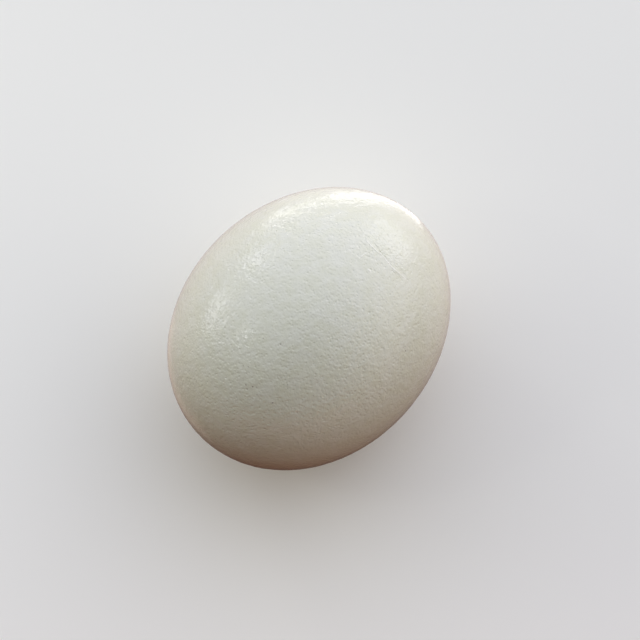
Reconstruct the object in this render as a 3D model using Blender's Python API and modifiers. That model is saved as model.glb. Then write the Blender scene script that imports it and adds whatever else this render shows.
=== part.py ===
"""An ostrich egg, lying on its side on a small flat spot.

Metres, +Z up. The long axis runs along X, with the blunt end at -X and the
pointed end at +X. The origin is on the surface that the egg rests on, under
the middle of its length.
"""

import math

import bmesh
import bpy

# Driving dimensions
LENGTH = 0.155
WIDTH = 0.128
BLUNTNESS = 0.018  # share by which the blunt half is fuller and the pointed half leaner
REST_SPOT_WIDTH = 0.016  # the flat spot underneath, measured across the egg

# How finely the egg is faceted
PROFILE_STEPS = 40
TURN_STEPS = 72
WELD_DISTANCE = 0.00001

# Finish: cream, with a glaze-like gloss
SHELL_COLOUR = (0.79, 0.75, 0.62, 1.0)
SHELL_ROUGHNESS = 0.28


def widest_place():
    """Cosine of the profile's angle, counted from the pointed end, where the egg is widest."""
    return (1 - math.sqrt(1 + 8 * BLUNTNESS**2)) / (4 * BLUNTNESS)


def relative_radius(cosine):
    """The egg's radius at that place along it, before it is scaled to WIDTH."""
    return math.sqrt(1 - cosine**2) * (1 - BLUNTNESS * cosine)


def egg_profile():
    """(radius, height) from the pointed end at the top, down the outer side to the blunt end."""
    scale = WIDTH / 2 / relative_radius(widest_place())
    for step in range(PROFILE_STEPS + 1):
        cosine = math.cos(math.pi * step / PROFILE_STEPS)
        yield scale * relative_radius(cosine), LENGTH / 2 * cosine


def flat_depth():
    """How far the flat spot lies above the lowest point of the full round."""
    radius = WIDTH / 2
    return radius - math.sqrt(radius**2 - (REST_SPOT_WIDTH / 2) ** 2)


def clear_scene():
    for old in list(bpy.data.objects):
        bpy.data.objects.remove(old, do_unlink=True)


def new_collection(name):
    collection = bpy.data.collections.new(name)
    bpy.context.scene.collection.children.link(collection)
    return collection


def shell_material():
    material = bpy.data.materials.new("shell")
    material.use_nodes = True
    principled = material.node_tree.nodes["Principled BSDF"]
    principled.inputs["Base Color"].default_value = SHELL_COLOUR
    principled.inputs["Roughness"].default_value = SHELL_ROUGHNESS
    principled.inputs["Metallic"].default_value = 0.0
    return material


def turned_egg(collection):
    """The profile turned about its long axis, then laid down with the pointed end at +X."""
    mesh = bpy.data.meshes.new("eggshell")
    points = [(radius, 0, height) for radius, height in egg_profile()]
    edges = [(i, i + 1) for i in range(PROFILE_STEPS)]
    mesh.from_pydata(points, edges, [])
    egg = bpy.data.objects.new("eggshell", mesh)
    collection.objects.link(egg)
    egg.rotation_euler = (0, math.radians(90), 0)
    egg.location.z = WIDTH / 2 - flat_depth()
    turn = egg.modifiers.new("turn", "SCREW")
    turn.axis = "Z"
    turn.steps = turn.render_steps = TURN_STEPS
    turn.use_merge_vertices = True
    turn.merge_threshold = WELD_DISTANCE
    turn.use_smooth_shade = True
    mesh.materials.append(shell_material())
    return egg


def ground_block(collection):
    """A block whose top face is the surface that the egg rests on."""
    mesh = bpy.data.meshes.new("ground_block")
    shape = bmesh.new()
    bmesh.ops.create_cube(shape, size=WIDTH / 2)
    shape.to_mesh(mesh)
    shape.free()
    block = bpy.data.objects.new("ground_block", mesh)
    collection.objects.link(block)
    block.location.z = -WIDTH / 4
    block.display_type = "WIRE"
    block.hide_render = True
    return block


def flatten_rest_spot(egg, block):
    flatten = egg.modifiers.new("rest_spot", "BOOLEAN")
    flatten.operation = "DIFFERENCE"
    flatten.solver = "EXACT"
    flatten.object = block


def main():
    clear_scene()
    egg = turned_egg(new_collection("ostrich egg"))
    block = ground_block(new_collection("cutters"))
    flatten_rest_spot(egg, block)


main()
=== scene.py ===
"""The looks of a whole ostrich egg: a glossy cream shell, finely dimpled and dotted with pores.

Everything is in metres, in the frame of the solid: the egg lies along X on a small flat
spot, with its blunt end at -X and its pointed end at +X, and the floor is at Z = 0.
"""

import math

import bpy
from mathutils import Matrix, Vector


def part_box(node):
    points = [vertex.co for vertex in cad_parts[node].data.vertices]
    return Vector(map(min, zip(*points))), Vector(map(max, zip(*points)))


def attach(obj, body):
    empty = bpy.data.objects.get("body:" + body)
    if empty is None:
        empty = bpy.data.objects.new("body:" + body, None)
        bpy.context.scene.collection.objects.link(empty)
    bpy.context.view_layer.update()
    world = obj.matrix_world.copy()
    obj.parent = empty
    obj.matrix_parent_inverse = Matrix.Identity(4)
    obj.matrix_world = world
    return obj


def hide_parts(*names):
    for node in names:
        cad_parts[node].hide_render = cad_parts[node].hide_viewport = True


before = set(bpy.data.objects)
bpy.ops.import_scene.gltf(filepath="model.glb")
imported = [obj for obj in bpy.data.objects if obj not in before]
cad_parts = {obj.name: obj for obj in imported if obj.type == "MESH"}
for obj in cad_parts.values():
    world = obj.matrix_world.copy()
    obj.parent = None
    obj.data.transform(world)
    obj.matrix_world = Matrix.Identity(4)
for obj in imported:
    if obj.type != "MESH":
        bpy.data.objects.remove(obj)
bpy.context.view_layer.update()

# The egg's own sizes, from the solid
LOW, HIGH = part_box("eggshell")
LENGTH = HIGH.x - LOW.x
WIDTH = HIGH.y - LOW.y
AXIS_HEIGHT = HIGH.z - WIDTH / 2
CENTRE = Vector((0, 0, AXIS_HEIGHT))
BLUNTNESS = 0.018  # share by which the blunt half is fuller and the pointed half leaner

# The shell's relief: sizes are from one swell to the next, depths are from the highest to the lowest
MESH_SIDE = 129  # points along each edge of the cube that is rounded into the egg
DIMPLE_SIZE = 0.0016
DIMPLE_REACH = 0.55  # from a dimple's middle to its rim, as a share of DIMPLE_SIZE
DIMPLE_DEPTH = 0.00013
SHALLOWEST_DIMPLE = 0.5  # as a share of DIMPLE_DEPTH
CRINKLE_SIZE = 0.0019
CRINKLE_DEPTH = 0.00024
SWELL_SIZE = 0.0026
SWELL_DEPTH = 0.00026
WAVE_SIZE = 0.0075
WAVE_DEPTH = 0.00020
PORE_DEPTH = 0.00010
PORE_MIDDLE = 0.3  # the share of a pore's radius that is evenly dark
SCRATCH_BREAK_SIZE = 0.0014  # how long the stretches are where a scratch is fainter
FAINTEST_SCRATCH = 0.4

# The relief's strength on the egg's upper side: 1 in the middle, and changing towards the near
# side and the far side between these places, counted away from the camera
NEAR_STRENGTH = 1.2
NEAR_CHANGE = (-0.045, -0.025)
FAR_DIMPLES = 1.6
FAR_CRINKLES = 1.7
FAR_CHANGE = (0.005, 0.035)

# The relief's strength all round the flanks, and the heights above the egg's middle, counted
# towards the camera, between which it changes
FLANK_STRENGTH = 0.8
FLANK_CHANGE = (0.033, 0.043)

# Where the photograph shows the egg, in pixels of its 640 x 640 frame
PHOTO_SIZE = 640
EGG_CENTRE_PX = (310.4, 327.25)  # the egg's middle, which isn't quite the middle of its outline
EGG_LENGTH_PX = 308.6
CAMERA_ELEVATION = math.radians(75)
CAMERA_DISTANCE = 1.0
SENSOR_WIDTH = 0.036

CREAM = (0.780, 0.79, 0.600, 1)
DEEP_CREAM = (0.755, 0.765, 0.555, 1)
# Dark colour at some dimples' bottoms, partly dirt and partly painted shade in the hollows, and in the
# pores
SHADE_AND_GRIME_COLOUR = (0.25, 0.20, 0.14, 1)
# Chalky white of the scratches, which also serves as a painted highlight along the raised lines and on
# the fleck
CHALK_AND_GLINT = (0.95, 0.95, 0.77, 1)
MOTTLE_SIZE = 0.006
WEAR_SIZE = 0.006
GLOSSIEST = 0.08  # the shell's roughness where it is least worn
DULLEST = 0.14
UNDARKENED_SHARE = 0.90  # the share of dimples with no dark dot of dirt and painted shade in them
GRIME_AND_SHADE_DOT = (0.05, 0.16)  # where a dark dot of dirt and painted shade starts and stops fading, as shares of DIMPLE_SIZE
# How dark the dots of dirt and painted shade at the dimples' bottoms are
GRIME_AND_SHADE_DARKNESS = 0.3

# Single marks, where the photograph shows them, in pixels
# Each open pore: its place, its radius in metres, how dark it is
PORES_PX = (
    ((263.0, 338.5), 0.00055, 0.7),
    ((280.5, 344.5), 0.00050, 0.6),
    ((243.0, 366.0), 0.00060, 0.5),
    ((248.0, 367.0), 0.00055, 0.5),
    ((245.7, 385.2), 0.00055, 0.8),
    ((252.5, 387.0), 0.00065, 0.9),
    ((247.0, 389.3), 0.00060, 0.7),
    ((256.5, 387.5), 0.00055, 0.6),
    ((287.5, 385.0), 0.00055, 0.6),
    ((287.5, 388.6), 0.00050, 0.5),
    ((272.5, 403.0), 0.00060, 0.7),
    ((256.8, 395.0), 0.00055, 0.5),
    ((281.0, 378.0), 0.00060, 0.4),
    ((313.5, 396.0), 0.00060, 0.4),
    ((406.0, 351.0), 0.00060, 0.7),
    ((359.0, 368.0), 0.00050, 0.5),
    ((393.5, 280.3), 0.00055, 0.4),
)
# Each scratch: its two ends, half width and depth in metres, how white it is (chalk and painted
# highlight)
# A depth below 0 is a raised line
SCRATCHES_PX = (
    ((367.0, 240.5), (373.0, 247.3), 0.00055, -0.00016, 1.0),
    ((373.0, 247.3), (382.0, 255.0), 0.00055, -0.00016, 1.0),
    ((382.0, 255.0), (392.5, 267.3), 0.00055, -0.00016, 1.0),
    ((392.5, 267.3), (406.5, 279.3), 0.00055, -0.00014, 1.0),
    ((373.5, 242.0), (380.5, 251.5), 0.00050, 0.00021, 0.0),
    ((380.5, 251.5), (389.5, 262.0), 0.00050, 0.00021, 0.0),
    ((390.0, 261.0), (398.0, 268.0), 0.00045, 0.00018, 0.0),
    ((392.0, 270.5), (396.5, 274.5), 0.00045, 0.00018, 0.0),
    ((400.0, 269.5), (407.5, 277.0), 0.00045, 0.00018, 0.0),
    ((396.5, 272.5), (403.0, 281.0), 0.00045, 0.00015, 0.0),
    ((359.0, 258.0), (370.0, 250.0), 0.00045, -0.00008, 0.8),
    ((383.0, 297.5), (392.0, 306.0), 0.00045, -0.00006, 0.6),
    # A raised fleck, whitened as a painted glint
    ((368.6, 269.4), (371.2, 271.6), 0.00090, -0.00016, 1.0),
    ((354.5, 206.0), (361.0, 203.0), 0.00045, 0.00015, 0.0),
    ((362.0, 208.0), (367.0, 219.0), 0.00050, 0.00015, 0.0),
    ((405.0, 247.0), (406.8, 254.5), 0.00060, -0.00008, 0.7),
)

# Light. Directions are (to the right, up, towards the camera), as the camera sees them
# Each lobe of the sky: direction, how far from it the lobe reaches (as a cosine), colour
SKY_LOBES = {
    "beyond": ((0.0, 0.8, 0.6), 0.2, (0.0, 0.02, 0.28)),
    "beyond right": ((0.7, 0.7, 0.0), 0.0, (1.09, 1.08, 1.30)),
    "beyond left": ((-0.7, 0.7, 0.0), 0.5, (0.55, 0.54, 0.65)),
    "overhead left": ((-0.55, 0.35, 0.76), 0.6, (0.65, 0.65, 0.56)),
    "overhead right": ((0.55, 0.35, 0.76), 0.6, (0.32, 0.35, 0.33)),
    "right": ((1.0, 0.0, 0.0), 0.5, (0.40, 0.29, 0.13)),
}
BACKDROP_COLOUR = (0.76, 0.76, 0.75, 1)
STRIP_HEIGHT = 0.002
FLOOR_SIZE = 8.0
FLOOR_COLOUR = (0.91, 0.91, 0.775, 1)
FLOOR_BEYOND = (0.72, 0.61, 0.53, 1)
FLOOR_NEAR = (0.15, 0.055, 0.035, 1)
FLOOR_CHANGE = (-0.10, 0.05)  # between these places, counted away from the camera
FLOOR_ROUGHNESS = 0.9
FLOOR_SHINE = 0.1
WINDOW_DISTANCE = 0.7
BOUNCE_DISTANCE = 0.35
HALVINGS = 30  # in the search for the place that a pixel shows


class Nodes:
    """Adds nodes to a tree. Each input is a plain value or another node's output socket."""

    def __init__(self, tree):
        self.tree = tree

    def add(self, kind, inputs=(), **settings):
        node = self.tree.nodes.new(kind)
        for name, value in settings.items():
            setattr(node, name, value)
        for name, value in dict(inputs).items():
            self.feed(node.inputs[name], value)
        return node

    def feed(self, socket, value):
        if isinstance(value, bpy.types.NodeSocket):
            self.tree.links.new(value, socket)
        else:
            socket.default_value = value

    def math(self, operation, *values):
        return self.add("ShaderNodeMath", enumerate(values), operation=operation).outputs[0]

    def vector(self, operation, *values):
        node = self.add("ShaderNodeVectorMath", enumerate(values), operation=operation)
        gives_number = operation in ("DOT_PRODUCT", "LENGTH", "DISTANCE")
        return node.outputs["Value" if gives_number else "Vector"]

    def scaled(self, vector, factor):
        inputs = {"Vector": vector, "Scale": factor}
        return self.add("ShaderNodeVectorMath", inputs, operation="SCALE").outputs["Vector"]

    def ramp(self, value, start, end, low=0.0, high=1.0):
        """low up to start, high from end on, and a smooth step in between."""
        inputs = {"Value": value, "From Min": start, "From Max": end, "To Min": low, "To Max": high}
        node = self.add("ShaderNodeMapRange", inputs, interpolation_type="SMOOTHSTEP")
        return node.outputs["Result"]

    def clamped(self, value):
        return self.add("ShaderNodeClamp", {"Value": value}).outputs[0]

    def noise(self, vector, size, detail=2.0, offset=0.0):
        """Noise from 0 to 1, with swells of this many metres. The offset picks another stretch."""
        shifted = self.vector("ADD", vector, (offset, offset, offset))
        inputs = {"Vector": shifted, "Scale": 1 / size, "Detail": detail, "Roughness": 0.5}
        return self.add("ShaderNodeTexNoise", inputs).outputs[0]

    def cells(self, vector, size):
        """(distance from the nearest cell's middle in cell sizes, the cell's own random colour)."""
        inputs = {"Vector": vector, "Scale": 1 / size, "Randomness": 1.0}
        node = self.add("ShaderNodeTexVoronoi", inputs, feature="F1")
        return node.outputs["Distance"], node.outputs["Color"]

    def colour_mix(self, factor, first, second):
        """The first colour where the factor is 0, blended with the second where it is 1."""
        node = self.add("ShaderNodeMix", data_type="RGBA", blend_type="MIX")
        # A Mix node has sockets for each data type, and these are the colour's
        self.feed(node.inputs[0], factor)
        self.feed(node.inputs[6], first)
        self.feed(node.inputs[7], second)
        return node.outputs[2]


# ---------------------------------------------------------------------------
# Camera


def camera_axes():
    """(right, up, back) of the camera, which turns so that the egg's long axis shows at 45 degrees."""
    azimuth = math.atan(-1 / math.sin(CAMERA_ELEVATION))
    sin_a, cos_a = math.sin(azimuth), math.cos(azimuth)
    sin_e, cos_e = math.sin(CAMERA_ELEVATION), math.cos(CAMERA_ELEVATION)
    right = Vector((cos_a, sin_a, 0))
    up = Vector((-sin_a * sin_e, cos_a * sin_e, cos_e))
    back = Vector((sin_a * cos_e, -cos_a * cos_e, sin_e))
    return right, up, back


def away_from_camera():
    """The level direction in which the camera looks, which is up in the photograph."""
    up = camera_axes()[1]
    return Vector((up.x, up.y, 0)).normalized()


def shown_length():
    """The long axis as the camera sees it, a little shortened by the camera's height."""
    along = abs(camera_axes()[2].x)
    return math.sqrt((1 - along**2) * LENGTH**2 + along**2 * WIDTH**2)


def metres_per_px():
    """How much a pixel shows, level with the egg's middle."""
    return shown_length() / EGG_LENGTH_PX


def add_camera():
    right, up, back = camera_axes()
    aside = (PHOTO_SIZE / 2 - EGG_CENTRE_PX[0]) * metres_per_px()
    above = (EGG_CENTRE_PX[1] - PHOTO_SIZE / 2) * metres_per_px()
    data = bpy.data.cameras.new("camera")
    camera = bpy.data.objects.new("camera", data)
    bpy.context.scene.collection.objects.link(camera)
    data.sensor_width = SENSOR_WIDTH * 1000
    data.lens = data.sensor_width * CAMERA_DISTANCE / (PHOTO_SIZE * metres_per_px())
    turned = Matrix((right, up, back)).transposed().to_4x4()
    place = CENTRE + right * aside + up * above + back * CAMERA_DISTANCE
    camera.matrix_world = Matrix.Translation(place) @ turned
    bpy.context.scene.camera = camera


def inside_shell(place):
    along = place.x / (LENGTH / 2)
    aside = math.hypot(place.y, place.z - AXIS_HEIGHT) / (WIDTH / 2 * (1 - BLUNTNESS * along))
    return along**2 + aside**2 < 1


def place_seen_at(x_px, y_px):
    """The place on the smooth shell that the photograph shows at this pixel."""
    right, up, back = camera_axes()
    outside = bpy.context.scene.camera.matrix_world.translation
    aside = (x_px - PHOTO_SIZE / 2) * metres_per_px()
    above = (PHOTO_SIZE / 2 - y_px) * metres_per_px()
    within = outside - back * CAMERA_DISTANCE + right * aside + up * above
    for _ in range(HALVINGS):
        middle = (outside + within) / 2
        if inside_shell(middle):
            within = middle
        else:
            outside = middle
    return within


# ---------------------------------------------------------------------------
# The relief that the shell's mesh carries


def strength(nodes, place, on_far_side):
    """How strong the relief is at each place, with this strength on the upper side's far part."""
    away = nodes.vector("DOT_PRODUCT", place, tuple(away_from_camera()))
    near = nodes.ramp(away, *NEAR_CHANGE, NEAR_STRENGTH, 1.0)
    far = nodes.ramp(away, *FAR_CHANGE, 1.0, on_far_side)
    from_centre = nodes.vector("SUBTRACT", place, tuple(CENTRE))
    height = nodes.vector("DOT_PRODUCT", from_centre, tuple(camera_axes()[2]))
    above_flanks = nodes.math("SUBTRACT", nodes.math("MULTIPLY", near, far), FLANK_STRENGTH)
    return nodes.math("MULTIPLY_ADD", nodes.ramp(height, *FLANK_CHANGE), above_flanks, FLANK_STRENGTH)


def swells(nodes, place):
    """The leathery rise and fall of the surface, a little wider than the dimples."""
    noise = nodes.noise(place, SWELL_SIZE, detail=1.0, offset=5.0)
    return nodes.math("MULTIPLY", nodes.math("SUBTRACT", noise, 1.0), SWELL_DEPTH)


def waves(nodes, place):
    """Slow unevenness, which bends the edges of reflections."""
    noise = nodes.noise(place, WAVE_SIZE, detail=1.0, offset=8.0)
    return nodes.math("MULTIPLY", nodes.math("SUBTRACT", noise, 1.0), WAVE_DEPTH)


# ---------------------------------------------------------------------------
# The shell's mesh

SHELL_SIZES = {
    "Length": LENGTH,
    "Width": WIDTH,
    "Bluntness": BLUNTNESS,
    "Axis Height": AXIS_HEIGHT,
    "Relief": 1.0,
}


def rounded_cube(nodes, sizes):
    """A finely divided cube blown up into the egg, with its points evenly spread."""
    side = {"Size": (2, 2, 2), "Vertices X": MESH_SIDE, "Vertices Y": MESH_SIDE, "Vertices Z": MESH_SIDE}
    cube = nodes.add("GeometryNodeMeshCube", side)
    corner = nodes.add("GeometryNodeInputPosition").outputs[0]
    # The tangent evens out the spacing between the middle of a side and its edges
    spread = nodes.vector("TANGENT", nodes.scaled(corner, math.pi / 4))
    along = nodes.add("ShaderNodeSeparateXYZ", {0: nodes.vector("NORMALIZE", spread)}).outputs
    lean = nodes.math("SUBTRACT", 1.0, nodes.math("MULTIPLY", sizes["Bluntness"], along["X"]))
    radius = nodes.math("MULTIPLY", nodes.math("MULTIPLY", lean, sizes["Width"]), 0.5)
    x = nodes.math("MULTIPLY", nodes.math("MULTIPLY", along["X"], sizes["Length"]), 0.5)
    y = nodes.math("MULTIPLY", along["Y"], radius)
    z = nodes.math("ADD", nodes.math("MULTIPLY", along["Z"], radius), sizes["Axis Height"])
    place = nodes.add("ShaderNodeCombineXYZ", {0: x, 1: y, 2: z}).outputs[0]
    inputs = {"Geometry": cube.outputs["Mesh"], "Position": place}
    return nodes.add("GeometryNodeSetPosition", inputs).outputs[0]


def roughened(nodes, shell, share):
    """The shell with this share of its swells and waves, all of them below the smooth egg."""
    place = nodes.add("GeometryNodeInputPosition").outputs[0]
    relief = nodes.math("ADD", swells(nodes, place), waves(nodes, place))
    normal = nodes.add("GeometryNodeInputNormal").outputs[0]
    offset = nodes.scaled(normal, nodes.math("MULTIPLY", relief, share))
    return nodes.add("GeometryNodeSetPosition", {"Geometry": shell, "Offset": offset}).outputs[0]


def rested(nodes, shell):
    """The shell with everything below the floor pressed up onto it, which leaves the flat spot."""
    place = nodes.add("GeometryNodeInputPosition").outputs[0]
    on_floor = nodes.vector("MAXIMUM", place, (-LENGTH, -LENGTH, 0.0))
    return nodes.add("GeometryNodeSetPosition", {"Geometry": shell, "Position": on_floor}).outputs[0]


def shell_tree(material):
    """(the tree that makes the shell, its input sockets by name)."""
    tree = bpy.data.node_groups.new("eggshell shape", "GeometryNodeTree")
    sockets = {}
    for name in SHELL_SIZES:
        sockets[name] = tree.interface.new_socket(name, in_out="INPUT", socket_type="NodeSocketFloat")
    tree.interface.new_socket("Shell", in_out="OUTPUT", socket_type="NodeSocketGeometry")
    nodes = Nodes(tree)
    sizes = nodes.add("NodeGroupInput").outputs
    shell = rounded_cube(nodes, sizes)
    shell = roughened(nodes, shell, sizes["Relief"])
    shell = rested(nodes, shell)
    smooth = nodes.add("GeometryNodeSetShadeSmooth", {"Geometry": shell})
    whole = nodes.add("GeometryNodeRealizeInstances", {"Geometry": smooth.outputs[0]})
    finished = nodes.add("GeometryNodeSetMaterial", {"Geometry": whole.outputs[0], "Material": material})
    nodes.add("NodeGroupOutput", {"Shell": finished.outputs[0]})
    return tree, sockets


def plain_mesh(tree, sockets, values, name):
    """Runs the tree and returns what it makes as an object with a plain mesh."""
    holder = bpy.data.objects.new("holder", bpy.data.meshes.new("holder"))
    bpy.context.scene.collection.objects.link(holder)
    modifier = holder.modifiers.new("shape", "NODES")
    modifier.node_group = tree
    for socket, value in values.items():
        modifier[sockets[socket].identifier] = value
    graph = bpy.context.evaluated_depsgraph_get()
    mesh = bpy.data.meshes.new_from_object(holder.evaluated_get(graph))
    mesh.name = name
    bpy.data.objects.remove(holder)
    made = bpy.data.objects.new(name, mesh)
    bpy.context.scene.collection.objects.link(made)
    return made


# ---------------------------------------------------------------------------
# Finishes


def dimples(nodes, place):
    """(height of the fine round dents, share of the dark dot at their bottoms, partly dirt and partly
    painted shade).
    """
    distance, colour = nodes.cells(place, DIMPLE_SIZE)
    chances = nodes.add("ShaderNodeSeparateColor", {"Color": colour}).outputs
    deep = nodes.ramp(chances[1], 0.0, 1.0, SHALLOWEST_DIMPLE, 1.0)
    bowl = nodes.ramp(distance, 0.0, DIMPLE_REACH, -DIMPLE_DEPTH, 0.0)
    # Some dimples get a dark dot at the bottom: partly dirt, partly painted shade in the hollow
    darkened = nodes.ramp(chances[0], UNDARKENED_SHARE, 1.0)
    dot = nodes.ramp(distance, *GRIME_AND_SHADE_DOT, 1.0, 0.0)
    return nodes.math("MULTIPLY", bowl, deep), nodes.math("MULTIPLY", darkened, dot)


def crinkles(nodes, place):
    """The fine unevenness between the dimples."""
    noise = nodes.noise(place, CRINKLE_SIZE, detail=2.0, offset=3.0)
    return nodes.math("MULTIPLY", noise, CRINKLE_DEPTH)


def pores(nodes, place):
    """Share of dark pore at each place."""
    mask = 0.0
    for spot, radius, darkness in PORES_PX:
        distance = nodes.vector("DISTANCE", place, tuple(place_seen_at(*spot)))
        spot_mask = nodes.ramp(distance, PORE_MIDDLE * radius, radius, darkness, 0.0)
        mask = nodes.math("MAXIMUM", mask, spot_mask)
    return mask


def scratches(nodes, place):
    """(height of the scratches and chips, share of white in them, which is chalk and a painted
    highlight).
    """
    height, chalky_glint = 0.0, 0.0
    breaks = nodes.noise(place, SCRATCH_BREAK_SIZE, detail=1.0, offset=11.0)
    broken = nodes.ramp(breaks, 0.35, 0.50, FAINTEST_SCRATCH, 1.0)
    for first, last, half_width, depth, whiteness in SCRATCHES_PX:
        start = place_seen_at(*first)
        line = place_seen_at(*last) - start
        from_start = nodes.vector("SUBTRACT", place, tuple(start))
        share = nodes.vector("DOT_PRODUCT", from_start, tuple(line / line.length_squared))
        nearest = nodes.scaled(tuple(line), nodes.clamped(share))
        distance = nodes.vector("DISTANCE", from_start, nearest)
        mark = nodes.ramp(distance, 0.0, half_width, 1.0, 0.0)
        height = nodes.math("SUBTRACT", height, nodes.math("MULTIPLY", mark, depth))
        # White along a mark: chalk, and a painted highlight where a raised line catches the light
        if whiteness > 0:
            chalky_glint = nodes.math("MAXIMUM", chalky_glint, nodes.math("MULTIPLY", mark, whiteness))
    return nodes.math("MULTIPLY", height, broken), nodes.math("MULTIPLY", chalky_glint, broken)


def shell_material():
    material = bpy.data.materials.new("eggshell glaze")
    material.use_nodes = True
    nodes = Nodes(material.node_tree)
    shader = material.node_tree.nodes["Principled BSDF"]
    place = nodes.add("ShaderNodeTexCoord").outputs["Object"]
    bowls, grime_and_shade = dimples(nodes, place)
    mottle = nodes.ramp(nodes.noise(place, MOTTLE_SIZE, detail=3.0), 0.3, 0.7)
    cream = nodes.colour_mix(mottle, CREAM, DEEP_CREAM)
    open_pores = pores(nodes, place)
    # Darker at some dimples' bottoms, with dirt and painted shade, and in the pores
    dark = nodes.math("MAXIMUM", nodes.math("MULTIPLY", grime_and_shade, GRIME_AND_SHADE_DARKNESS), open_pores)
    marks, chalky_glint = scratches(nodes, place)
    # Chalk and painted highlight along the raised scratches
    cream = nodes.colour_mix(chalky_glint, cream, CHALK_AND_GLINT)
    nodes.feed(shader.inputs["Base Color"], nodes.colour_mix(dark, cream, SHADE_AND_GRIME_COLOUR))
    worn = nodes.noise(place, WEAR_SIZE, detail=2.0)
    nodes.feed(shader.inputs["Roughness"], nodes.ramp(worn, 0.3, 0.7, GLOSSIEST, DULLEST))
    bowls = nodes.math("MULTIPLY", bowls, strength(nodes, place, FAR_DIMPLES))
    fine = nodes.math("MULTIPLY", crinkles(nodes, place), strength(nodes, place, FAR_CRINKLES))
    height = nodes.math("ADD", nodes.math("ADD", bowls, fine), marks)
    height = nodes.math("SUBTRACT", height, nodes.math("MULTIPLY", open_pores, PORE_DEPTH))
    bump = nodes.add("ShaderNodeBump", {"Strength": 1.0, "Distance": 1.0, "Height": height})
    nodes.feed(shader.inputs["Normal"], bump.outputs[0])
    return material


def floor_material():
    """Pale to look at, but dim where it lights the egg's near side, which is in shade."""
    material = bpy.data.materials.new("pale floor")
    material.use_nodes = True
    nodes = Nodes(material.node_tree)
    shader = material.node_tree.nodes["Principled BSDF"]
    place = nodes.add("ShaderNodeTexCoord").outputs["Object"]
    away = nodes.vector("DOT_PRODUCT", place, tuple(away_from_camera()))
    lighting = nodes.colour_mix(nodes.ramp(away, *FLOOR_CHANGE), FLOOR_NEAR, FLOOR_BEYOND)
    seen = nodes.add("ShaderNodeLightPath").outputs["Is Camera Ray"]
    nodes.feed(shader.inputs["Base Color"], nodes.colour_mix(seen, lighting, FLOOR_COLOUR))
    shader.inputs["Roughness"].default_value = FLOOR_ROUGHNESS
    shader.inputs["Specular IOR Level"].default_value = FLOOR_SHINE
    return material


# ---------------------------------------------------------------------------
# Surroundings


def add_floor():
    half = FLOOR_SIZE / 2
    mesh = bpy.data.meshes.new("floor")
    corners = [(-half, -half, 0), (half, -half, 0), (half, half, 0), (-half, half, 0)]
    mesh.from_pydata(corners, [], [(0, 1, 2, 3)])
    mesh.materials.append(floor_material())
    floor = bpy.data.objects.new("floor", mesh)
    bpy.context.scene.collection.objects.link(floor)


def seen_way(aside, above, towards):
    """The direction that the camera sees as this far to the right, up and towards itself."""
    right, up, back = camera_axes()
    return (right * aside + up * above + back * towards).normalized()


def light_world():
    """A soft sky that is the sum of its lobes, behind an even backdrop."""
    world = bpy.data.worlds.new("studio")
    bpy.context.scene.world = world
    world.use_nodes = True
    nodes = Nodes(world.node_tree)
    background = world.node_tree.nodes["Background"]
    direction = nodes.add("ShaderNodeTexCoord").outputs["Generated"]
    light = (0.0, 0.0, 0.0)
    for way, reach, colour in SKY_LOBES.values():
        height = nodes.vector("DOT_PRODUCT", direction, tuple(seen_way(*way)))
        lobe = nodes.scaled(colour, nodes.ramp(height, reach, 1.0))
        light = nodes.vector("ADD", light, lobe)
    seen = nodes.add("ShaderNodeLightPath").outputs["Is Camera Ray"]
    nodes.feed(background.inputs["Color"], nodes.colour_mix(seen, light, BACKDROP_COLOUR))


def add_panel(name, width, depth, radiance, colour):
    """A soft light panel, which still has to be placed."""
    data = bpy.data.lights.new(name, "AREA")
    data.shape = "RECTANGLE"
    data.size = width
    data.size_y = depth
    data.energy = radiance * math.pi * width * depth
    data.color = colour
    panel = bpy.data.objects.new(name, data)
    bpy.context.scene.collection.objects.link(panel)
    panel.visible_camera = False
    return panel


def turned_light(place, across, shine):
    """The matrix of a light at this place that shines this way, with its width along across."""
    return Matrix.Translation(place) @ Matrix((across, across.cross(shine), -shine)).transposed().to_4x4()


def level_way(azimuth):
    """The level direction this many degrees to the right of straight away from the camera."""
    azimuth = math.radians(azimuth)
    return away_from_camera() * math.cos(azimuth) + camera_axes()[0] * math.sin(azimuth)


def floor_place(aside, away):
    """A place just above the floor, this far to the right of the egg and away from the camera."""
    return camera_axes()[0] * aside + away_from_camera() * away + Vector((0, 0, STRIP_HEIGHT))


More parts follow.
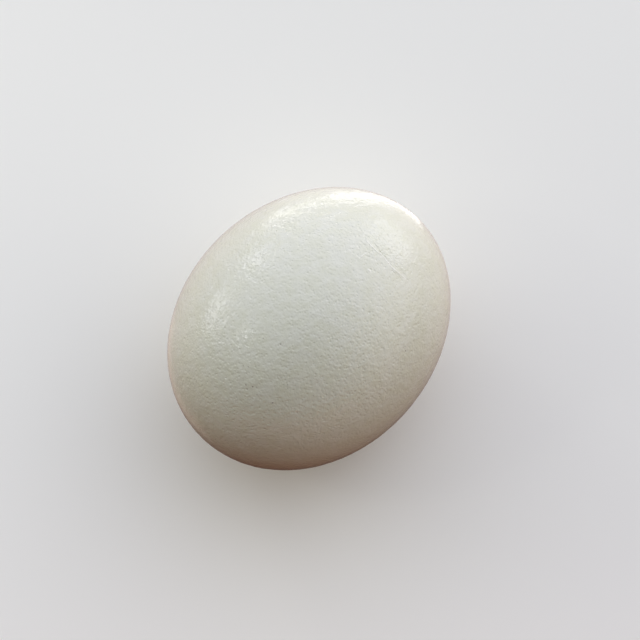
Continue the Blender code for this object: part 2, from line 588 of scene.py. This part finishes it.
def add_strip(name, start, end, width, radiance, colour=(1, 1, 1)):
    """A light panel that lies on the floor beyond the egg and shines up, between two floor places."""
    start = floor_place(*start)
    end = floor_place(*end)
    length = (end - start).length
    up = Vector((0, 0, 1))
    across = (end - start).cross(up).normalized()
    panel = add_panel(name, width, length, radiance, colour)
    panel.matrix_world = turned_light((start + end) / 2, across, up)


def add_window(name, azimuth, elevation, distance, width, height, radiance, colour=(1, 1, 1)):
    """A light panel that faces the egg and is seen from it in this direction, in degrees."""
    rise = math.radians(elevation)
    out = level_way(azimuth) * math.cos(rise) + Vector((0, 0, math.sin(rise)))
    across = out.cross(Vector((0, 0, 1))).normalized()
    panel = add_panel(name, width, height, radiance, colour)
    panel.matrix_world = turned_light(CENTRE + out * distance, across, -out)


def add_lights():
    add_strip("near strip", (0.088, 0.100), (0.044, 0.185), 0.042, 1.35)
    add_strip("middle strip", (0.062, 0.195), (0.0, 0.42), 0.09, 1.6)
    add_strip("left strip", (-0.04, 0.35), (-0.25, 0.56), 0.15, 2.9)
    add_strip("wide strip", (0.10, 0.13), (0.10, 1.60), 0.30, 0.25)
    add_strip("left rim strip", (-0.100, -0.080), (-0.110, 0.03), 0.04, 0.25, (1.0, 0.75, 0.6))
    add_window("left window", -38, 21, WINDOW_DISTANCE, 0.14, 0.20, 3.2)
    add_window("near left window", -71, 15.5, WINDOW_DISTANCE, 0.30, 0.15, 3.1)
    add_window("small window", -95, 47, WINDOW_DISTANCE, 0.07, 0.09, 6.0)
    add_window("right window", 42, 7, WINDOW_DISTANCE, 0.38, 0.38, 1.5)
    add_window("warm bounce", 180, 3, BOUNCE_DISTANCE, 0.50, 0.12, 0.36, (1.0, 0.38, 0.22))
    add_window("warm bounce right", 130, 3, BOUNCE_DISTANCE, 0.30, 0.12, 0.12, (1.0, 0.45, 0.27))
    add_window("warm bounce left", -110, 3, BOUNCE_DISTANCE, 0.50, 0.12, 0.14, (1.0, 0.75, 0.55))


add_camera()
light_world()
add_floor()
add_lights()

tree, sockets = shell_tree(shell_material())
shell = plain_mesh(tree, sockets, SHELL_SIZES, "ostrich_eggshell")
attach(shell, "root")
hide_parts("eggshell")

bpy.context.scene.view_settings.view_transform = "Standard"
